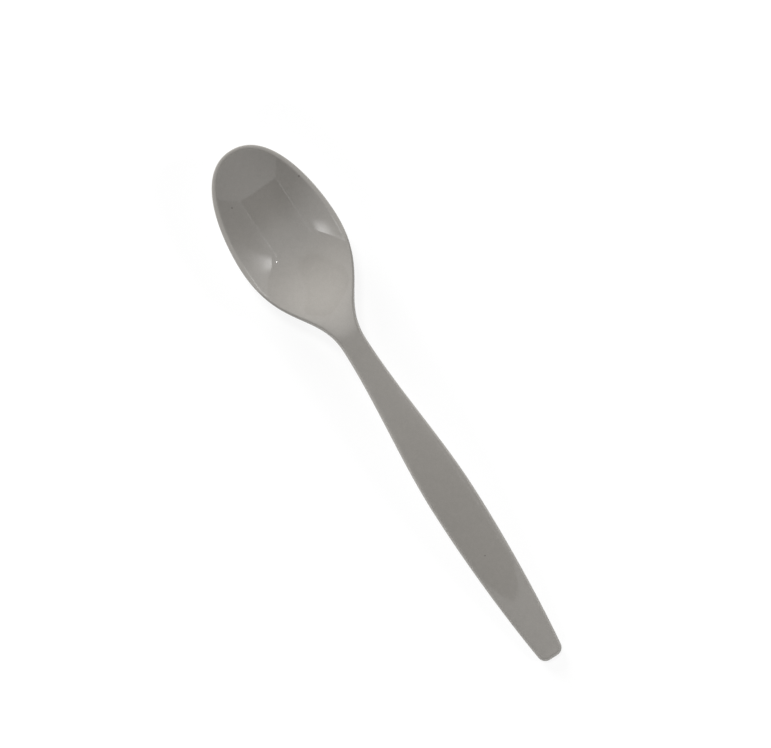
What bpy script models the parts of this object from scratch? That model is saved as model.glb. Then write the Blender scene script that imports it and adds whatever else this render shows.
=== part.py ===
# A one-piece moulded spoon lying on a table: an oval bowl, a narrow neck and a leaf-shaped handle.
# Metres, +Z up. X runs along the spoon from the bowl to the handle, Y across it, and z = 0 is the table.
import math

import bmesh
import bpy
import numpy as np

MM = 0.001

# Plan sizes, stations measured along the spoon
LENGTH = 165.0 * MM
BOWL_WIDTH = 30.6 * MM
BOWL_WIDEST_FROM_TIP = 29.4 * MM
NECK_WIDTH = 7.2 * MM
NECK_FROM_TIP = 63.9 * MM
HANDLE_WIDTH = 13.15 * MM
HANDLE_WIDEST_FROM_END = 50.8 * MM
END_WIDTH = 7.3 * MM
END_CORNER_RADIUS = 2.4 * MM
END_TAPER = math.radians(7.8)
CORNER_LIMIT = 0.95  # share of the end's half width that its corners may take

# Heights of the upper edge above the table
TIP_HEIGHT = 9.0 * MM
RIM_HEIGHT = 7.6 * MM
NECK_HEIGHT = 9.1 * MM

# Thicknesses at the outline and at the bowl's floor, edges, crown at the handle's widest, and flats
RIM_THICKNESS = 0.7 * MM
FLOOR_THICKNESS = 1.2 * MM
NECK_THICKNESS = 2.2 * MM
END_THICKNESS = 1.6 * MM
LIP_WIDTH = 1.2 * MM
LIP_FILLET = 0.4 * MM
EDGE_ROUND = 1.0 * MM
HANDLE_CROWN = 1.4 * MM
FOOT_CUT = 0.1 * MM

# Fullness of the outline: reach of each curve's pull as a share of the stretch that it spans
TIP_FULLNESS = 0.83
FRONT_FULLNESS = 0.31
SHOULDER_FULLNESS = 0.557
THROAT_FULLNESS = 0.38
NECK_FULLNESS = 0.33
HANDLE_FULLNESS = 0.33
TAIL_FULLNESS = 0.46
END_FULLNESS = 0.1

# Bowl section: 0 is a paraboloid, more is a flatter floor with steeper walls, less a rounder floor
FLOOR_FLATNESS = -0.08

# Depth goes with the half width to the power of twice this near the neck, from this share of the shoulder on
THROAT_POWER = 0.6
THROAT_REACH = 0.6

# Mesh steps along one side of the outline, and rings as shares of the way in to the centre line
FRONT_STEPS = 18
SHOULDER_STEPS = 16
NECK_STEPS = 10
TAIL_STEPS = 9
CORNER_STEPS = 4
FINE_STEPS = 200
TOP_RINGS = (0.0, 0.05, 0.11, 0.2, 0.32, 0.46, 0.6, 0.74, 0.88, 1.0)
EDGE_RINGS = (0.2, 0.5, 0.8)
UNDER_RINGS = (1.0, 0.85, 0.7, 0.52, 0.34, 0.18, 0.07, 0.0)
WELD = 0.0001 * MM
SLOPE_STEP = 0.01 * MM
LEAST_ROOM = 0.0001  # share of the bowl's squared half width below which it counts as shut
EDGE_PULL = 4 / 3  # reach of the edge's curve, at which it just touches the outline
SHARP_ANGLE = math.radians(40)

PLASTIC_COLOUR = (0.25, 0.238, 0.22, 1.0)
PLASTIC_ROUGHNESS = 0.22


def bezier(start, start_pull, end_pull, end, steps):
    """Points of a cubic curve from start to end, drawn toward its two pull points."""
    t = np.linspace(0.0, 1.0, steps + 1)[:, None]
    return (
        (1 - t) ** 3 * np.array(start)
        + 3 * (1 - t) ** 2 * t * np.array(start_pull)
        + 3 * (1 - t) * t**2 * np.array(end_pull)
        + t**3 * np.array(end)
    )


def bowl_side(front_steps, shoulder_steps):
    """One side of the outline from the tip to the neck, as rows of distance along and half width."""
    widest, bowl_half = BOWL_WIDEST_FROM_TIP, BOWL_WIDTH / 2
    neck, neck_half = NECK_FROM_TIP, NECK_WIDTH / 2
    shoulder = neck - widest
    front = bezier(
        (0.0, 0.0),
        (0.0, TIP_FULLNESS * bowl_half),
        (widest * (1 - FRONT_FULLNESS), bowl_half),
        (widest, bowl_half),
        front_steps,
    )
    back = bezier(
        (widest, bowl_half),
        (widest + SHOULDER_FULLNESS * shoulder, bowl_half),
        (neck - THROAT_FULLNESS * shoulder, neck_half),
        (neck, neck_half),
        shoulder_steps,
    )
    return np.vstack([front, back[1:]])


def handle_side(neck_steps, tail_steps, corner_steps):
    """One side of the outline from the neck to the middle of the square end."""
    neck, neck_half = NECK_FROM_TIP, NECK_WIDTH / 2
    broad, broad_half = LENGTH - HANDLE_WIDEST_FROM_END, HANDLE_WIDTH / 2
    stretch = broad - neck
    radius = min(END_CORNER_RADIUS, CORNER_LIMIT * END_WIDTH / 2)
    turn = np.linspace(math.pi / 2 - END_TAPER, 0.0, corner_steps + 1)
    corner = np.column_stack(
        [LENGTH - radius + radius * np.cos(turn), END_WIDTH / 2 - radius + radius * np.sin(turn)]
    )
    reach = END_FULLNESS * HANDLE_WIDEST_FROM_END
    waist = bezier(
        (neck, neck_half),
        (neck + NECK_FULLNESS * stretch, neck_half),
        (broad - HANDLE_FULLNESS * stretch, broad_half),
        (broad, broad_half),
        neck_steps,
    )
    tail = bezier(
        (broad, broad_half),
        (broad + TAIL_FULLNESS * HANDLE_WIDEST_FROM_END, broad_half),
        corner[0] + reach * np.array([-math.cos(END_TAPER), math.sin(END_TAPER)]),
        corner[0],
        tail_steps,
    )
    return np.vstack([waist, tail[1:], corner[1:], [[LENGTH, 0.0]]])


def side_outline():
    """One side of the whole outline, from the tip to the middle of the end."""
    bowl = bowl_side(FRONT_STEPS, SHOULDER_STEPS)
    handle = handle_side(NECK_STEPS, TAIL_STEPS, CORNER_STEPS)
    return np.vstack([bowl, handle[1:]])


def closed_outline():
    """The outline as a closed loop, anticlockwise from above, starting at the tip."""
    side = side_outline()
    return np.vstack([side * (1, -1), side[-2:0:-1]])


def inward(loop):
    """Unit normals of an anticlockwise loop, pointing into it."""
    run = np.roll(loop, -1, axis=0) - np.roll(loop, 1, axis=0)
    run /= np.linalg.norm(run, axis=1)[:, None]
    return np.column_stack([-run[:, 1], run[:, 0]])


def ease(x):
    """A ramp from 0 to 1 that starts and ends level and straight."""
    x = np.clip(x, 0.0, 1.0)
    return x**3 * (10 - 15 * x + 6 * x * x)


def shoulder_ramp(along):
    """0 up to the bowl's widest station and 1 from the neck on."""
    return ease((along - BOWL_WIDEST_FROM_TIP) / (NECK_FROM_TIP - BOWL_WIDEST_FROM_TIP))


def edge_height(along):
    """Upper edge from the side: a parabola down from the tip, a quintic up to the neck, a straight fall.

    The quintic carries on the parabola's height, slope and bend, and meets the fall with no bend.
    """
    widest, shoulder = BOWL_WIDEST_FROM_TIP, NECK_FROM_TIP - BOWL_WIDEST_FROM_TIP
    dip = TIP_HEIGHT - RIM_HEIGHT
    fall = (END_THICKNESS - FOOT_CUT - NECK_HEIGHT) / (LENGTH - EDGE_ROUND - NECK_FROM_TIP)
    front = RIM_HEIGHT + dip * (1 - along / widest) ** 2
    straight = NECK_HEIGHT + fall * (along - NECK_FROM_TIP)

    bend = dip * (shoulder / widest) ** 2
    rise = NECK_HEIGHT - RIM_HEIGHT - bend
    slope = fall * shoulder - 2 * bend
    x = np.clip((along - widest) / shoulder, 0.0, 1.0)
    swing = x**3 * (10 * rise - 4 * slope - bend)
    swing += x**4 * (7 * slope - 15 * rise + 2 * bend)
    swing += x**5 * (6 * rise - 3 * slope - bend)
    back = RIM_HEIGHT + bend * x * x + swing
    bowl = np.where(along < widest, front, back)
    return np.where(along < NECK_FROM_TIP, bowl, straight)


def edge_thickness(along):
    """Thickness at the outline: even round the bowl, swelling to the neck, then a straight taper."""
    taper = (along - NECK_FROM_TIP) / (LENGTH - NECK_FROM_TIP)
    handle = NECK_THICKNESS + (END_THICKNESS - NECK_THICKNESS) * np.maximum(taper, 0.0)
    return RIM_THICKNESS + (handle - RIM_THICKNESS) * shoulder_ramp(along)


def bowl_fill(along, across, inset):
    """How far into the bowl a point lies: 0 on the outline moved in by inset, 1 at the middle.

    It is the squared half width less the squared distance across, over its greatest value. A ramp
    closes the oval at the neck and levels it from side to side there, a power keeps the throat deep,
    and a quartic rounds the start.
    """
    side = bowl_side(FINE_STEPS, FINE_STEPS)
    run = np.gradient(side, axis=0)
    run /= np.linalg.norm(run, axis=1)[:, None]
    side = side + inset * np.column_stack([run[:, 1], -run[:, 0]])
    station, square = side[:, 0], side[:, 1] ** 2
    middle = BOWL_WIDTH / 2 - inset
    throat = NECK_WIDTH / 2 - inset
    closing = shoulder_ramp(along)
    room = np.interp(along, station, square) - throat**2 * closing
    front = (square[1] - square[0]) / (station[1] - station[0]) * (along - station[0])
    room = np.where(along < station[0], front, room)
    room = np.where(along > NECK_FROM_TIP, -((along - NECK_FROM_TIP) ** 2), room)
    reach = THROAT_REACH * (NECK_FROM_TIP - BOWL_WIDEST_FROM_TIP)
    power = 1 - (1 - THROAT_POWER) * ease((along - BOWL_WIDEST_FROM_TIP) / reach)
    share = np.clip(room / middle**2, LEAST_ROOM, 1.0)
    blend = 2 * LIP_FILLET / middle
    fill = (room - (1 - closing) * across**2) / middle**2 * share ** (power - 1) - blend * closing
    x = np.clip((fill + blend) / (2 * blend), 0.0, 1.0)
    rounded = 2 * blend * x**3 * (1 - x / 2)
    return np.clip(np.where(fill < blend, rounded, fill), 0.0, 1.0)


def bowl_depth(fill):
    """Depth of the bowl, as a share of its greatest depth."""
    return fill * (1 + FLOOR_FLATNESS * (1 - fill))


def half_width(along):
    """Half width of the handle at each station, held at the end's width round the corners."""
    side = side_outline()
    return np.maximum(np.interp(along, side[:, 0], side[:, 1]), END_WIDTH / 2)


def top(plan):
    """Height of the upper surface over points of the plan; the handle's crown goes with its width."""
    along, across = plan[:, 0], plan[:, 1]
    half = half_width(along)
    crown = HANDLE_CROWN * half / (HANDLE_WIDTH / 2) * shoulder_ramp(along) * (1 - (across / half) ** 2)
    depth = (RIM_HEIGHT - FLOOR_THICKNESS) * bowl_depth(bowl_fill(along, across, LIP_WIDTH))
    return edge_height(along) + crown - depth


def under(plan):
    """Height of the lower surface over points of the plan, before the feet are cut."""
    along, across = plan[:, 0], plan[:, 1]
    depth = (RIM_HEIGHT - RIM_THICKNESS + FOOT_CUT) * bowl_depth(bowl_fill(along, across, 0.0))
    return edge_height(along) - edge_thickness(along) - depth


def surface_rings():
    """Loops of points over the whole spoon, from its centre line below, round the edge, to that on top."""
    outline = closed_outline()
    normal = inward(outline)
    rim = outline + EDGE_ROUND * normal
    spine = np.zeros_like(rim)
    spine[:, 0] = np.clip(rim[:, 0], BOWL_WIDTH / 2, LENGTH - END_WIDTH / 2)
    below = [rim + share * (spine - rim) for share in UNDER_RINGS]
    above = [rim + share * (spine - rim) for share in TOP_RINGS]
    rings = [np.column_stack([plan, under(plan)]) for plan in below]
    rings += [edge_ring(outline, normal, rim, share) for share in EDGE_RINGS]
    rings += [np.column_stack([plan, top(plan)]) for plan in above]
    return rings


def edge_ring(outline, normal, rim, share):
    """One loop on the rounded edge, a cubic tangent to both surfaces that just touches the outline."""
    pull = EDGE_PULL * EDGE_ROUND
    step = SLOPE_STEP * normal
    low, high = under(rim), top(rim)
    low_pull = low + (low - under(rim + step)) / SLOPE_STEP * pull
    high_pull = high + (high - top(rim + step)) / SLOPE_STEP * pull
    plan = outline + EDGE_ROUND * (1 - 2 * share) ** 2 * normal
    height = (
        (1 - share) ** 3 * low
        + 3 * (1 - share) ** 2 * share * low_pull
        + 3 * (1 - share) * share**2 * high_pull
        + share**3 * high
    )
    return np.column_stack([plan, height])


def skin(mesh, rings):
    """Faces between neighbouring loops; the first and last loop fold shut on the centre line."""
    loops = [[mesh.verts.new(point) for point in ring] for ring in rings]
    count = len(loops[0])
    for lower, upper in zip(loops, loops[1:]):
        for i in range(count):
            j = (i + 1) % count
            mesh.faces.new((lower[i], lower[j], upper[j], upper[i]))
    bmesh.ops.remove_doubles(mesh, verts=mesh.verts, dist=WELD)


def cut_feet(mesh):
    """Cuts the lowest parts of the bowl and of the handle's end flat at the table."""
    whole = mesh.verts[:] + mesh.edges[:] + mesh.faces[:]
    bmesh.ops.bisect_plane(
        mesh, geom=whole, dist=WELD, plane_co=(0, 0, 0), plane_no=(0, 0, 1), clear_inner=True
    )
    rim = [edge for edge in mesh.edges if edge.is_boundary]
    bmesh.ops.holes_fill(mesh, edges=rim, sides=0)
    bmesh.ops.recalc_face_normals(mesh, faces=mesh.faces)


def plastic():
    """Glossy warm grey plastic."""
    material = bpy.data.materials.new("grey_plastic")
    material.use_nodes = True
    shader = material.node_tree.nodes["Principled BSDF"]
    shader.inputs["Base Color"].default_value = PLASTIC_COLOUR
    shader.inputs["Roughness"].default_value = PLASTIC_ROUGHNESS
    shader.inputs["Metallic"].default_value = 0.0
    return material


def build_spoon():
    """The spoon, with the middle of its length and width over the origin."""
    mesh = bmesh.new()
    skin(mesh, surface_rings())
    cut_feet(mesh)
    bmesh.ops.translate(mesh, verts=mesh.verts, vec=(-LENGTH / 2, 0, 0))
    data = bpy.data.meshes.new("spoon")
    mesh.to_mesh(data)
    mesh.free()
    data.shade_smooth()
    data.set_sharp_from_angle(angle=SHARP_ANGLE)
    data.materials.append(plastic())
    spoon = bpy.data.objects.new("spoon", data)
    bpy.context.scene.collection.objects.link(spoon)
    return spoon


def main():
    for old in list(bpy.data.objects):
        bpy.data.objects.remove(old, do_unlink=True)
    build_spoon()


main()
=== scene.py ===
# Looks of a one-piece moulded spoon in glossy warm grey plastic, lying on a pale table inside a light tent
import math

import bmesh
import bpy
import numpy as np
from mathutils import Matrix, Vector


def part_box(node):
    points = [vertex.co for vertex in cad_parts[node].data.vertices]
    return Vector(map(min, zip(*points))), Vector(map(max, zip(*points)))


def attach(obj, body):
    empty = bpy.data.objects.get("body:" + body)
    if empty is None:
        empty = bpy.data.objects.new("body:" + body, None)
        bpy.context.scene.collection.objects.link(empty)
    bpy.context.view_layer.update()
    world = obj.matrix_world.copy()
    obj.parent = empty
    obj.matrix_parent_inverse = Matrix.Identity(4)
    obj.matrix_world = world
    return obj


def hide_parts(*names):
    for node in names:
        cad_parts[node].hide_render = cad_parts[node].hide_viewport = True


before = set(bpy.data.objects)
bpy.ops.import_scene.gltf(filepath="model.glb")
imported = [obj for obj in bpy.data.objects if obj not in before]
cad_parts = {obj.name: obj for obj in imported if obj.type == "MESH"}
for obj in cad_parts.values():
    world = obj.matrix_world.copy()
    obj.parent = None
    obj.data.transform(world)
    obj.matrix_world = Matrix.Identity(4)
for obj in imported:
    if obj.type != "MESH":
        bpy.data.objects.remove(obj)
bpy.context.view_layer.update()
print("frame loaded, nodes:", ", ".join(sorted(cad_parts)))

mm = 0.001
spoonLow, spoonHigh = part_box("spoon")

# lengths in metres and the taper in radians; the values from tipFullness on are shares and powers
spoonShape = {
    "length": spoonHigh.x - spoonLow.x,
    "bowlWidth": spoonHigh.y - spoonLow.y,
    "bowlWidestFromTip": 29.4 * mm,
    "neckWidth": 7.2 * mm,
    "neckFromTip": 63.9 * mm,
    "handleWidth": 13.15 * mm,
    "handleWidestFromEnd": 50.8 * mm,
    "endWidth": 7.3 * mm,
    "endCorner": 2.4 * mm,
    "endTaper": math.radians(7.8),
    "tipHeight": 9.0 * mm,
    "rimHeight": 7.6 * mm,
    "neckHeight": 9.1 * mm,
    "rimThickness": 0.7 * mm,
    "floorThickness": 1.2 * mm,
    "neckThickness": 2.2 * mm,
    "endThickness": 1.6 * mm,
    "lipWidth": 1.2 * mm,
    "lipFillet": 0.4 * mm,
    "edgeRound": 1.0 * mm,
    "handleCrown": 1.4 * mm,
    "footCut": 0.1 * mm,
    "tipFullness": 0.83,
    "frontFullness": 0.31,
    "shoulderFullness": 0.557,
    "throatFullness": 0.38,
    "neckFullness": 0.33,
    "handleFullness": 0.33,
    "tailFullness": 0.46,
    "endFullness": 0.1,
    "floorFlatness": -0.08,
    "throatPower": 0.6,
    "throatReach": 0.6,
    "leastRoom": 0.0001,
}

# grid of the skin, and where its seam along the middle starts and stops
spoonGrid = {
    "sideSteps": 330,
    "underRings": 30,
    "edgeRings": 14,
    "topRings": 52,
    "ringCrowding": 1.8,
    "outlineSteps": 3000,
    "seamFromTip": 9.0 * mm,
    "seamFromEnd": 3.3 * mm,
    "seamPace": 0.55,
    "seamEndWidths": 3,
    "slopeStep": 0.01 * mm,
    "weld": 0.001 * mm,
}


# cubic: u^3 start + 3 u^2 t startPull + 3 u t^2 endPull + t^3 end, with u = 1 - t
def cubic(t, start, startPull, endPull, end):
    u = 1 - t
    return u**3 * start + 3 * u**2 * t * startPull + 3 * u * t**2 * endPull + t**3 * end


# points along a cubic in plan, at even steps of t from 0 to 1
def cubicCurve(start, startPull, endPull, end, steps):
    t = np.linspace(0.0, 1.0, steps + 1)[:, None]
    return cubic(t, *(np.array(p, float) for p in (start, startPull, endPull, end)))


# one side of the bowl from tip to neck: two cubic curves that share a level tangent at the widest point
def bowlSide(s, steps):
    widest, half = s["bowlWidestFromTip"], s["bowlWidth"] / 2
    neck, neckHalf = s["neckFromTip"], s["neckWidth"] / 2
    shoulder = neck - widest
    front = cubicCurve((0, 0), (0, s["tipFullness"] * half),
                       (widest * (1 - s["frontFullness"]), half), (widest, half), steps)
    back = cubicCurve((widest, half), (widest + s["shoulderFullness"] * shoulder, half),
                      (neck - s["throatFullness"] * shoulder, neckHalf), (neck, neckHalf), steps)
    return np.vstack([front, back[1:]])


# one side of the handle from neck to the middle of its end: two cubic curves, a corner arc and a straight
def handleSide(s, steps):
    neck, neckHalf = s["neckFromTip"], s["neckWidth"] / 2
    broad, broadHalf = s["length"] - s["handleWidestFromEnd"], s["handleWidth"] / 2
    stretch, taper, radius = broad - neck, s["endTaper"], s["endCorner"]
    turn = np.linspace(math.pi / 2 - taper, 0.0, steps + 1)
    corner = np.column_stack([s["length"] - radius + radius * np.cos(turn),
                              s["endWidth"] / 2 - radius + radius * np.sin(turn)])
    reach = s["endFullness"] * s["handleWidestFromEnd"] * np.array([-math.cos(taper), math.sin(taper)])
    waist = cubicCurve((neck, neckHalf), (neck + s["neckFullness"] * stretch, neckHalf),
                       (broad - s["handleFullness"] * stretch, broadHalf), (broad, broadHalf), steps)
    tail = cubicCurve((broad, broadHalf), (broad + s["tailFullness"] * s["handleWidestFromEnd"], broadHalf),
                      corner[0] + reach, corner[0], steps)
    straight = np.column_stack([np.full(steps, s["length"]), np.linspace(corner[-1, 1], 0, steps + 1)[1:]])
    return np.vstack([waist, tail[1:], corner[1:], straight])


# distance walked along a line of points
def walked(points):
    return np.concatenate([[0.0], np.cumsum(np.linalg.norm(np.diff(points, axis=0), axis=1))])


# ramp from 0 to 1, level and straight at both ends: x^3 (10 - 15x + 6x^2)
def ease(x):
    x = np.clip(x, 0.0, 1.0)
    return x**3 * (10 - 15 * x + 6 * x * x)


# 0 up to the bowl's widest point, 1 from the neck on
def shoulderRamp(s, along):
    return ease((along - s["bowlWidestFromTip"]) / (s["neckFromTip"] - s["bowlWidestFromTip"]))


# upper edge from the side: a parabola down from the tip, a quintic up to the neck that keeps height, slope
# and bend where they meet, then a straight fall to the end
def edgeHeight(s, along):
    widest, shoulder = s["bowlWidestFromTip"], s["neckFromTip"] - s["bowlWidestFromTip"]
    dip = s["tipHeight"] - s["rimHeight"]
    endHeight = s["endThickness"] - s["footCut"]
    fall = (endHeight - s["neckHeight"]) / (s["length"] - s["edgeRound"] - s["neckFromTip"])
    front = s["rimHeight"] + dip * (1 - along / widest) ** 2
    bend = dip * (shoulder / widest) ** 2
    rise = s["neckHeight"] - s["rimHeight"] - bend
    slope = fall * shoulder - 2 * bend
    x = np.clip((along - widest) / shoulder, 0.0, 1.0)
    swing = x**3 * (10 * rise - 4 * slope - bend)
    swing += x**4 * (7 * slope - 15 * rise + 2 * bend)
    swing += x**5 * (6 * rise - 3 * slope - bend)
    back = s["rimHeight"] + bend * x * x + swing
    straight = s["neckHeight"] + fall * (along - s["neckFromTip"])
    return np.where(along < widest, front, np.where(along < s["neckFromTip"], back, straight))


# thickness at the outline: even round the bowl, swelling to the neck, then a straight taper
def edgeThickness(s, along):
    taper = np.maximum((along - s["neckFromTip"]) / (s["length"] - s["neckFromTip"]), 0.0)
    handle = s["neckThickness"] + (s["endThickness"] - s["neckThickness"]) * taper
    return s["rimThickness"] + (handle - s["rimThickness"]) * shoulderRamp(s, along)


# how far into the bowl a point lies: (half width^2 - across^2) / its greatest value, for the outline moved
# in by inset; the shoulder ramp closes it at the neck and levels it from side to side there, a power keeps
# the throat deep, and a quartic rounds its start
def bowlFill(s, along, across, inset):
    side = bowlSide(s, spoonGrid["outlineSteps"])
    run = np.gradient(side, axis=0)
    run /= np.linalg.norm(run, axis=1)[:, None]
    side = side + inset * np.column_stack([run[:, 1], -run[:, 0]])
    station, square = side[:, 0], side[:, 1] ** 2
    middle, throat = s["bowlWidth"] / 2 - inset, s["neckWidth"] / 2 - inset
    closing = shoulderRamp(s, along)
    room = np.interp(along, station, square) - throat**2 * closing
    steep = (square[1] - square[0]) / (station[1] - station[0])
    room = np.where(along < station[0], steep * (along - station[0]), room)
    room = np.where(along > s["neckFromTip"], -((along - s["neckFromTip"]) ** 2), room)
    reach = s["throatReach"] * (s["neckFromTip"] - s["bowlWidestFromTip"])
    power = 1 - (1 - s["throatPower"]) * ease((along - s["bowlWidestFromTip"]) / reach)
    share = np.clip(room / middle**2, s["leastRoom"], 1.0)
    blend = 2 * s["lipFillet"] / middle
    fill = (room - (1 - closing) * across**2) / middle**2 * share ** (power - 1) - blend * closing
    x = np.clip((fill + blend) / (2 * blend), 0.0, 1.0)
    return np.clip(np.where(fill < blend, 2 * blend * x**3 * (1 - x / 2), fill), 0.0, 1.0)


# depth of the bowl as a share: fill (1 + flatness (1 - fill))
def bowlDepth(s, along, across, inset):
    fill = bowlFill(s, along, across, inset)
    return fill * (1 + s["floorFlatness"] * (1 - fill))


# upper surface: edge height, plus a parabola across the handle that goes with its width, less the bowl
def topHeight(s, side, plan):
    along, across = plan[..., 0], plan[..., 1]
    half = np.maximum(np.interp(along, side[:, 0], side[:, 1]), s["endWidth"] / 2)
    swell = s["handleCrown"] * half / (s["handleWidth"] / 2) * shoulderRamp(s, along)
    crown = swell * (1 - (across / half) ** 2)
    depth = (s["rimHeight"] - s["floorThickness"]) * bowlDepth(s, along, across, s["lipWidth"])
    return edgeHeight(s, along) + crown - depth


# lower surface: edge height less thickness, less the bowl
def underHeight(s, plan):
    along, across = plan[..., 0], plan[..., 1]
    depth = (s["rimHeight"] - s["rimThickness"] + s["footCut"]) * bowlDepth(s, along, across, 0.0)
    return edgeHeight(s, along) - edgeThickness(s, along) - depth


# the skin on a grid: one parameter runs round the outline, the other from the seam below, round the edge,
# to the seam on top; rings between rim and seam are straight mixes of the two in plan, and edge rings are a
# parabola in plan and a cubic in height, tangent to both surfaces
def spoonSkin(s, g):
    fine = np.vstack([bowlSide(s, g["outlineSteps"]), handleSide(s, g["outlineSteps"])[1:]])
    path = walked(fine)
    pace = np.linspace(0.0, path[-1], g["sideSteps"] + 1)
    side = np.column_stack([np.interp(pace, path, fine[:, 0]), np.interp(pace, path, fine[:, 1])])
    outline = np.vstack([side * (1, -1), side[-2:0:-1]])
    paceRound = np.concatenate([pace, pace[-2:0:-1]])

    run = np.roll(outline, -1, axis=0) - np.roll(outline, 1, axis=0)
    run /= np.linalg.norm(run, axis=1)[:, None]
    inward = np.column_stack([-run[:, 1], run[:, 0]])
    rim = outline + s["edgeRound"] * inward

    # the seam keeps to the outline's station, but starts and stops short of both ends at an even pace
    toEnd = path[-1] - paceRound
    fromTip = ease(paceRound / s["bowlWidestFromTip"])
    fromEnd = ease(toEnd / (g["seamEndWidths"] * s["endWidth"]))
    station = fromTip * outline[:, 0] + (1 - fromTip) * (g["seamFromTip"] + g["seamPace"] * paceRound)
    endStation = s["length"] - g["seamFromEnd"] - g["seamPace"] * toEnd
    station = fromEnd * station + (1 - fromEnd) * endStation
    seam = np.column_stack([station, np.zeros_like(station)])

    share = np.linspace(0.0, 1.0, g["topRings"] + 1)[:, None, None] ** g["ringCrowding"]
    topPlan = rim + share * (seam - rim)
    share = np.linspace(1.0, 0.0, g["underRings"] + 1)[:, None, None] ** g["ringCrowding"]
    underPlan = rim + share * (seam - rim)

    pull = 4 / 3 * s["edgeRound"]       # gives the edge the slope of the surface that it meets
    step = g["slopeStep"]
    low, high = underHeight(s, rim), topHeight(s, fine, rim)
    lowPull = low + (low - underHeight(s, rim + step * inward)) / step * pull
    highPull = high + (high - topHeight(s, fine, rim + step * inward)) / step * pull
    t = np.linspace(0.0, 1.0, g["edgeRings"] + 2)[1:-1, None]
    edgePlan = outline + (s["edgeRound"] * (1 - 2 * t) ** 2)[..., None] * inward
    edgeZ = cubic(t, low, lowPull, highPull, high)

    plan = np.concatenate([underPlan, edgePlan, topPlan])
    height = np.concatenate([underHeight(s, underPlan), edgeZ, topHeight(s, fine, topPlan)])
    height = np.maximum(height, 0.0)        # the feet are flat on the table
    return np.concatenate([plan - (s["length"] / 2, 0.0), height[..., None]], axis=2)


# quads between neighbouring rows of a grid of points that closes round its second parameter
def gridFaces(rows, count):
    i, j = np.meshgrid(np.arange(rows - 1), np.arange(count), indexing="ij")
    k = (j + 1) % count
    corners = (i * count + j, i * count + k, (i + 1) * count + k, (i + 1) * count + j)
    return np.stack(corners, axis=-1).reshape(-1, 4)


# the skin as one closed mesh, its seams' double points welded and its faces turned outwards
def makeSpoon():
    points = spoonSkin(spoonShape, spoonGrid)
    rows, count, _ = points.shape
    mesh = bpy.data.meshes.new("plasticSpoon")
    mesh.from_pydata(points.reshape(-1, 3).tolist(), [], gridFaces(rows, count).tolist())
    work = bmesh.new()
    work.from_mesh(mesh)
    bmesh.ops.remove_doubles(work, verts=work.verts, dist=spoonGrid["weld"])
    bmesh.ops.recalc_face_normals(work, faces=work.faces)
    work.to_mesh(mesh)
    work.free()
    mesh.shade_smooth()
    spoon = bpy.data.objects.new("plastic_spoon", mesh)
    bpy.context.scene.collection.objects.link(spoon)
    print("spoon skin:", rows, "rings of", count, "points")
    return spoon


# colours are linear; sizes of the mottling, grain, peel and streaks in metres; specks are (x, y, radius)
greyPlastic = {
    "colour": (0.25, 0.238, 0.22, 1.0),
    "mottleSize": 1.3 * mm,
    "mottleDetail": 3.0,
    "mottleShade": 0.05,
    "grainSize": 0.28 * mm,
    "grainDetail": 2.0,
    "grainShade": 0.1,
    "roughness": 0.035,
    "roughnessSpread": 0.02,
    "streakSize": 0.5 * mm,
    "streakDetail": 3.0,
    "streakLength": 30.0,
    "peelSize": 4.0 * mm,
    "peelDetail": 1.0,
    "peelHeight": 0.0015 * mm,
    "ior": 1.53,
    "speckColour": (0.15, 0.138, 0.125, 1.0),
    "specks": ((-69.26 * mm, -8.01 * mm, 0.15 * mm), (-66.5 * mm, 12.27 * mm, 0.18 * mm),
               (48.93 * mm, -1.0 * mm, 0.13 * mm)),
}


# a node with its socket values, by name or number, and its properties
def addNode(tree, kind, values=None, **properties):
    node = tree.nodes.new(kind)
    for name, value in properties.items():
        setattr(node, name, value)
    for socket, value in (values or {}).items():
        node.inputs[socket].default_value = value
    return node


# noise on the object's own coordinates, in cells of the given size
def addNoise(tree, place, size, detail):
    noise = addNode(tree, "ShaderNodeTexNoise", {"Scale": 1 / size, "Detail": detail})
    tree.links.new(place, noise.inputs["Vector"])
    return noise.outputs["Fac"]


# a value from 0 to 1 as one around the middle, up to spread either way: value * 2 spread + middle - spread
def addSpread(tree, value, middle, spread):
    scaled = addNode(tree, "ShaderNodeMath", {1: 2 * spread, 2: middle - spread}, operation="MULTIPLY_ADD")
    tree.links.new(value, scaled.inputs[0])
    return scaled.outputs[0]


# 1 within a speck's radius of its place as seen from above, fading to 0 at twice that
def addSpeck(tree, plan, x, y, radius):
    away = addNode(tree, "ShaderNodeVectorMath", {1: (x, y, 0)}, operation="DISTANCE")
    tree.links.new(plan, away.inputs[0])
    fade = addNode(tree, "ShaderNodeMapRange",
                   {"From Min": radius, "From Max": 2 * radius, "To Min": 1, "To Max": 0})
    tree.links.new(away.outputs["Value"], fade.inputs["Value"])
    return fade.outputs["Result"]


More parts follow.
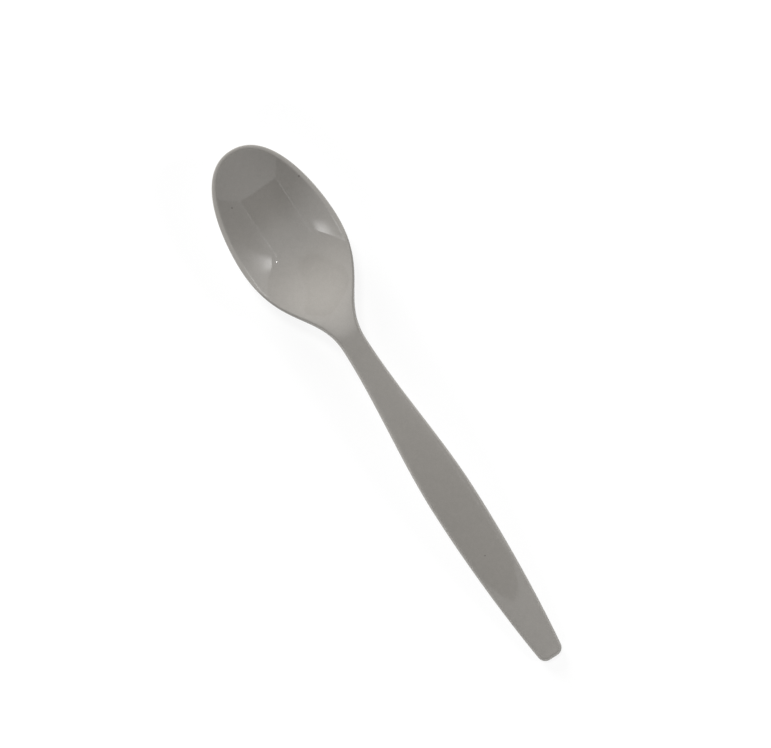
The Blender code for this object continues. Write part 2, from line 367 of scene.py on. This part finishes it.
# glossy plastic: colour * (1 + mottling + grain) with specks, a streaky gloss and faint waves
def makeGreyPlastic(look):
    material = bpy.data.materials.new("grey_plastic_gloss")
    material.use_nodes = True
    tree = material.node_tree
    shader = tree.nodes["Principled BSDF"]
    shader.inputs["IOR"].default_value = look["ior"]
    place = tree.nodes.new("ShaderNodeTexCoord").outputs["Object"]

    # base colour times a shade that mottling and grain push up and down
    mottle = addNoise(tree, place, look["mottleSize"], look["mottleDetail"])
    mottle = addSpread(tree, mottle, 1, look["mottleShade"])
    grain = addNoise(tree, place, look["grainSize"], look["grainDetail"])
    grain = addSpread(tree, grain, 0, look["grainShade"])
    shade = addNode(tree, "ShaderNodeMath", operation="ADD")
    tree.links.new(mottle, shade.inputs[0])
    tree.links.new(grain, shade.inputs[1])
    tint = addNode(tree, "ShaderNodeVectorMath", {0: look["colour"][:3]}, operation="SCALE")
    tree.links.new(shade.outputs[0], tint.inputs["Scale"])
    colour = tint.outputs["Vector"]
    plan = addNode(tree, "ShaderNodeVectorMath", {1: (1, 1, 0)}, operation="MULTIPLY")
    tree.links.new(place, plan.inputs[0])
    for x, y, radius in look["specks"]:
        speck = addNode(tree, "ShaderNodeMix", {"B": look["speckColour"]}, data_type="RGBA")
        tree.links.new(addSpeck(tree, plan.outputs["Vector"], x, y, radius), speck.inputs["Factor"])
        tree.links.new(colour, speck.inputs["A"])
        colour = speck.outputs["Result"]
    tree.links.new(colour, shader.inputs["Base Color"])

    # fine streaks along the spoon, as polished into its mould, spread the gloss a little
    stretch = addNode(tree, "ShaderNodeMapping", {"Scale": (1 / look["streakLength"], 1, 1)})
    tree.links.new(place, stretch.inputs["Vector"])
    streaks = addNoise(tree, stretch.outputs["Vector"], look["streakSize"], look["streakDetail"])
    gloss = addSpread(tree, streaks, look["roughness"], look["roughnessSpread"] / 2)
    tree.links.new(gloss, shader.inputs["Roughness"])

    # faint waves in the surface
    waves = addNoise(tree, place, look["peelSize"], look["peelDetail"])
    peel = addNode(tree, "ShaderNodeBump", {"Strength": 1.0, "Distance": look["peelHeight"]})
    tree.links.new(waves, peel.inputs["Height"])
    tree.links.new(peel.outputs["Normal"], shader.inputs["Normal"])
    print("grey plastic:", len(tree.nodes), "nodes")
    return material


# soft lamps by compass turn, rise and width in the sky, in degrees; strength is the light they throw on a
# face turned to them, where 1 shows a colour as written; gloss shows the tent instead of them
lamps = {
    "front": {"turn": 180, "rise": 12, "width": 30, "strength": 1.95},
    "over": {"turn": 180, "rise": 62, "width": 15, "strength": 0.5},
    "leftFill": {"turn": 60, "rise": 25, "width": 12, "strength": 0.45},
    "rightFill": {"turn": 300, "rise": 25, "width": 12, "strength": 0.36},
}


# suns of pi * strength, which shine from (cos turn cos rise, sin turn cos rise, sin rise)
def makeLamps():
    for name, lamp in lamps.items():
        turn, rise, width = (math.radians(lamp[key]) for key in ("turn", "rise", "width"))
        towards = Vector((math.cos(turn) * math.cos(rise), math.sin(turn) * math.cos(rise), math.sin(rise)))
        light = bpy.data.lights.new("lamp_" + name, "SUN")
        light.energy = math.pi * lamp["strength"]
        light.angle = width
        holder = bpy.data.objects.new("lamp_" + name, light)
        holder.rotation_euler = towards.to_track_quat("Z", "Y").to_euler()
        holder.visible_glossy = False
        bpy.context.scene.collection.objects.link(holder)
    print("lamps:", len(lamps))


# the tent that the gloss mirrors: heads and feet of its posts in plan, where a post without a foot stands
# upright; glows are radiance, where 1 is white, and a pair runs from the handle's end to the tip's, or up the
# tip's wall; a patch stands before a side wall, by the ends of its bright edge, then of its faded edge
tent = {
    "heads": {
        "handleRight": (224 * mm, -591 * mm),
        "handleMiddle": (208 * mm, 49 * mm),
        "handleLeft": (218 * mm, 516 * mm),
        "tipLeft": (-248 * mm, 483 * mm),
        "tipRight": (-248 * mm, -681 * mm),
    },
    "feet": {
        "handleRight": (162 * mm, -600 * mm),
        "handleLeft": (28 * mm, 503 * mm),
    },
    "height": 630 * mm,
    "proud": 2 * mm,
    "lidGlow": (0.04, 1.25),
    "sideGlow": (0.35, 1.25),
    "fadeReach": (0.2, 0.75),
    "tipGlow": (0.5, 1.25),
    "handleGlow": (0.8, 0.8),
    "rimWidth": 8 * mm,
    "rightRimGlow": (2.2, 5.0),
    "leftRimGlow": (2.5, 7.0),
    "lowRise": 100 * mm,
    "lowGlow": (1.8, 1.8),
    "roundSteps": 64,
    "shadePlace": (-54 * mm, 185 * mm),
    "shadeRadius": 115 * mm,
    "shadeGlow": (0.2, 0.2),
    "dotPlace": (442 * mm, 461 * mm),
    "dotRadius": 15 * mm,
    "dotGlow": (40.0, 40.0),
    "patchGlow": 4.3,
    "rightPatch": mm * np.array(((-140, -430, 362), (-255, -500, 180), (-150, -540, 135), (-65, -452, 350))),
    "leftPatch": mm * np.array(((-162, 486, 516), (-269, 479, 262), (-158, 486, 17), (-19, 494, 132))),
}


# a material and its tree, with no nodes yet
def bareMaterial(name):
    material = bpy.data.materials.new(name)
    material.use_nodes = True
    material.node_tree.nodes.clear()
    return material, material.node_tree


# light of start up to u = low and of end from u = high on, eased between
def makeGlow(name, start, end, low=0.0, high=1.0):
    material, tree = bareMaterial(name)
    place = addNode(tree, "ShaderNodeUVMap")
    split = addNode(tree, "ShaderNodeSeparateXYZ")
    ramp = addNode(tree, "ShaderNodeMapRange", interpolation_type="SMOOTHERSTEP",
                   values={"From Min": low, "From Max": high, "To Min": start, "To Max": end})
    emit = addNode(tree, "ShaderNodeEmission")
    output = addNode(tree, "ShaderNodeOutputMaterial")
    tree.links.new(place.outputs["UV"], split.inputs[0])
    tree.links.new(split.outputs["X"], ramp.inputs["Value"])
    tree.links.new(ramp.outputs["Result"], emit.inputs["Strength"])
    tree.links.new(emit.outputs["Emission"], output.inputs["Surface"])
    return material


# light added to what lies behind: full at u = 0, fading to none at u = 1 and towards both sides in v
def makePatchGlow(name, strength):
    material, tree = bareMaterial(name)
    place = addNode(tree, "ShaderNodeUVMap")
    split = addNode(tree, "ShaderNodeSeparateXYZ")
    fade = addNode(tree, "ShaderNodeMapRange", {"To Min": strength, "To Max": 0.0},
                   interpolation_type="SMOOTHERSTEP")
    across = addNode(tree, "ShaderNodeMath", {1: 0.5}, operation="PINGPONG")
    sides = addNode(tree, "ShaderNodeMapRange", {"From Max": 0.5}, interpolation_type="SMOOTHERSTEP")
    both = addNode(tree, "ShaderNodeMath", operation="MULTIPLY")
    emit = addNode(tree, "ShaderNodeEmission")
    clear = addNode(tree, "ShaderNodeBsdfTransparent")
    add = addNode(tree, "ShaderNodeAddShader")
    output = addNode(tree, "ShaderNodeOutputMaterial")
    tree.links.new(place.outputs["UV"], split.inputs[0])
    tree.links.new(split.outputs["X"], fade.inputs["Value"])
    tree.links.new(split.outputs["Y"], across.inputs[0])
    tree.links.new(across.outputs[0], sides.inputs["Value"])
    tree.links.new(fade.outputs["Result"], both.inputs[0])
    tree.links.new(sides.outputs["Result"], both.inputs[1])
    tree.links.new(both.outputs[0], emit.inputs["Strength"])
    tree.links.new(emit.outputs[0], add.inputs[0])
    tree.links.new(clear.outputs[0], add.inputs[1])
    tree.links.new(add.outputs[0], output.inputs["Surface"])
    return material


# flat panel through the points, of which the place on the panel is given from 0 to 1 both ways
def makePanel(name, points, place, material):
    mesh = bpy.data.meshes.new(name)
    mesh.from_pydata([tuple(p) for p in points], [], [tuple(range(len(points)))])
    mesh.uv_layers.new(name="panel").data.foreach_set("uv", np.ravel(place))
    mesh.materials.append(material)
    material.cycles.emission_sampling = "NONE"      # only the lamps throw light
    panel = bpy.data.objects.new(name, mesh)
    bpy.context.scene.collection.objects.link(panel)
    panel.visible_camera = False
    return panel


# a point of a post at height z, moved by shift in plan: foot + (head - foot) z / height + shift
def postPoint(t, post, z, shift=(0, 0)):
    head = np.array(t["heads"][post])
    foot = np.array(t["feet"].get(post, head))
    return (*(foot + (head - foot) * z / t["height"] + shift), z)


# corners of a wall between two posts and two heights: along its bottom, then back along its top
def wallCorners(t, start, end, bottom, top, shift=(0, 0)):
    places = ((start, bottom), (end, bottom), (end, top), (start, top))
    return [postPoint(t, post, z, shift) for post, z in places]


# walls, lid, strips, round spots and patches, which only gloss sees
def makeTent(t):
    up, low, rim = t["height"], t["lowRise"], t["height"] - t["rimWidth"]
    still, left, ahead = np.array((0, 0)), np.array((0, t["proud"])), np.array((t["proud"], 0))
    along = ((0, 0), (1, 0), (1, 1), (0, 1))        # u runs from the first corner to the second
    upward = ((0, 0), (0, 1), (1, 1), (1, 0))       # u runs from the first two corners to the last two
    sideGlow = (*t["sideGlow"], *t["fadeReach"])

    # walls, and strips that stand just before them: posts, heights, shift and glow
    walls = {
        "handle_right": ("handleRight", "handleMiddle", 0, up, still, t["handleGlow"]),
        "handle_left": ("handleMiddle", "handleLeft", 0, up, still, t["handleGlow"]),
        "handle_right_low": ("handleRight", "handleMiddle", 0, low, -ahead, t["lowGlow"]),
        "handle_left_low": ("handleMiddle", "handleLeft", 0, low, -ahead, t["lowGlow"]),
        "right": ("handleRight", "tipRight", 0, up, still, sideGlow),
        "left": ("handleLeft", "tipLeft", 0, up, still, sideGlow),
        "right_low": ("handleRight", "tipRight", 0, low, left, t["lowGlow"]),
        "left_low": ("handleLeft", "tipLeft", 0, low, -left, t["lowGlow"]),
        "right_rim": ("handleRight", "tipRight", rim, up, left, t["rightRimGlow"]),
        "left_rim": ("handleLeft", "tipLeft", rim, up, -left, t["leftRimGlow"]),
    }
    panels = []
    for name, (start, end, bottom, top, shift, glow) in walls.items():
        corners = wallCorners(t, start, end, bottom, top, shift)
        panels.append(makePanel("tent_" + name, corners, along, makeGlow("tent_" + name, *glow)))

    # the wall beyond the tip, which grows brighter upwards, and the lid
    corners = wallCorners(t, "tipRight", "tipLeft", 0, up)
    panels.append(makePanel("tent_tip", corners, upward, makeGlow("tent_tip", *t["tipGlow"])))
    corners = [postPoint(t, post, up) for post in ("handleRight", "tipRight", "tipLeft", "handleLeft")]
    glow = makeGlow("tent_lid", *t["lidGlow"], *t["fadeReach"])
    panels.append(makePanel("tent_lid", corners, along, glow))

    # round ones on the tip's wall
    angle = np.linspace(0, 2 * math.pi, t["roundSteps"], endpoint=False)
    ring = np.column_stack([np.cos(angle), np.sin(angle)])
    wallX = t["heads"]["tipLeft"][0]
    for name, x in (("shade", wallX + t["proud"]), ("dot", wallX + 2 * t["proud"])):
        sides = np.array(t[name + "Place"]) + t[name + "Radius"] * ring
        points = np.column_stack([np.full(len(ring), x), sides])
        panels.append(makePanel("tent_" + name, points, ring, makeGlow("tent_" + name, *t[name + "Glow"])))

    # patches before the side walls
    for name in ("right", "left"):
        glow = makePatchGlow("tent_patch_" + name, t["patchGlow"])
        panels.append(makePanel("tent_patch_" + name, t[name + "Patch"], upward, glow))

    for panel in panels:
        panel.visible_diffuse = False       # the lamps light the spoon, and no panel stops them
        panel.visible_shadow = False
    print("tent:", len(panels), "panels")


# a white table: what shows is white but for the spoon's shadow near it, and white all over further off
floorLook = {
    "size": 4.0,
    "drop": 0.05 * mm,
    "glow": 0.86,
    "colour": (0.13, 0.13, 0.13, 1.0),
    "bounce": (0.85, 0.85, 0.85, 1.0),
    "bounceGlow": 1.2,
    "shadowReach": (110 * mm, 170 * mm),
}


# 1 for rays that show the background itself: camera, glossy and transmission rays
def shownRay(tree):
    path = addNode(tree, "ShaderNodeLightPath")
    glossy = addNode(tree, "ShaderNodeMath", operation="MAXIMUM")
    tree.links.new(path.outputs["Is Camera Ray"], glossy.inputs[0])
    tree.links.new(path.outputs["Is Glossy Ray"], glossy.inputs[1])
    clear = addNode(tree, "ShaderNodeMath", operation="MAXIMUM")
    tree.links.new(glossy.outputs[0], clear.inputs[0])
    tree.links.new(path.outputs["Is Transmission Ray"], clear.inputs[1])
    return clear.outputs[0]


# shown rays see colour under the lamps + glow, other rays see bounce under the lamps + bounceGlow
def makeFloor(look):
    half = look["size"] / 2
    material, tree = bareMaterial("pale_table")
    output = addNode(tree, "ShaderNodeOutputMaterial")
    place = addNode(tree, "ShaderNodeTexCoord")
    away = addNode(tree, "ShaderNodeVectorMath", operation="LENGTH")
    near, far = look["shadowReach"]
    level = addNode(tree, "ShaderNodeMapRange",
                    {"From Min": near, "From Max": far, "To Min": look["glow"], "To Max": 1.0})
    tree.links.new(place.outputs["Object"], away.inputs[0])
    tree.links.new(away.outputs["Value"], level.inputs["Value"])
    lit = addNode(tree, "ShaderNodeBsdfDiffuse", {"Color": look["bounce"]})
    under = addNode(tree, "ShaderNodeEmission", {"Strength": look["bounceGlow"]})
    white = addNode(tree, "ShaderNodeAddShader")
    tree.links.new(lit.outputs[0], white.inputs[0])
    tree.links.new(under.outputs[0], white.inputs[1])
    shaded = addNode(tree, "ShaderNodeBsdfDiffuse", {"Color": look["colour"]})
    glow = addNode(tree, "ShaderNodeEmission")
    tree.links.new(level.outputs["Result"], glow.inputs["Strength"])
    pale = addNode(tree, "ShaderNodeAddShader")
    mix = addNode(tree, "ShaderNodeMixShader")
    tree.links.new(shaded.outputs[0], pale.inputs[0])
    tree.links.new(glow.outputs[0], pale.inputs[1])
    tree.links.new(shownRay(tree), mix.inputs[0])
    tree.links.new(white.outputs[0], mix.inputs[1])
    tree.links.new(pale.outputs[0], mix.inputs[2])
    tree.links.new(mix.outputs[0], output.inputs["Surface"])
    square = np.array(((0, 0), (1, 0), (1, 1), (0, 1)))
    corners = np.column_stack([half * (2 * square - 1), np.full(4, -look["drop"])])
    floor = makePanel("pale_table", corners, square, material)
    floor.visible_camera = True
    print("floor:", look["size"], "m wide")


# white where it shows, and no light on the spoon
def makeWorld():
    world = bpy.data.worlds.new("white_room")
    world.use_nodes = True
    tree = world.node_tree
    back = tree.nodes["Background"]
    back.inputs["Color"].default_value = (1, 1, 1, 1)
    tree.links.new(shownRay(tree), back.inputs["Strength"])
    world.cycles.sampling_method = "NONE"
    bpy.context.scene.world = world
    print("world: white where it shows")


# where the photograph was taken from: turned about the upright, leaning a little towards the handle's end
cameraPlace = {
    "target": (-7.99 * mm, 3.18 * mm, 0.0),
    "distance": 0.6,
    "turn": math.radians(57.39),
    "lean": math.radians(5.0),
    "lens": 101.02,
    "sensor": 36.0,
    "clip": (0.01, 20.0),
}


# camera at target + distance * back, with right, up and back as its axes
def makeCamera(c):
    turn, lean = c["turn"], c["lean"]
    right = np.array([math.cos(turn), math.sin(turn), 0.0])
    back = np.array([math.sin(turn) * math.sin(lean), -math.cos(turn) * math.sin(lean), math.cos(lean)])
    up = np.cross(back, right)
    place = np.array(c["target"]) + c["distance"] * back
    lens = bpy.data.cameras.new("camera")
    lens.lens = c["lens"]
    lens.sensor_width = c["sensor"]
    lens.clip_start, lens.clip_end = c["clip"]
    camera = bpy.data.objects.new("camera", lens)
    turned = Matrix(np.column_stack([right, up, back]).tolist()).to_4x4()
    camera.matrix_world = Matrix.Translation(place) @ turned
    bpy.context.scene.collection.objects.link(camera)
    bpy.context.scene.camera = camera
    print("camera:", c["distance"], "m away")


spoon = makeSpoon()
spoon.data.materials.append(makeGreyPlastic(greyPlastic))
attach(spoon, "root")
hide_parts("spoon")

makeLamps()
makeTent(tent)
makeFloor(floorLook)
makeWorld()
makeCamera(cameraPlace)
bpy.context.scene.view_settings.view_transform = "Standard"
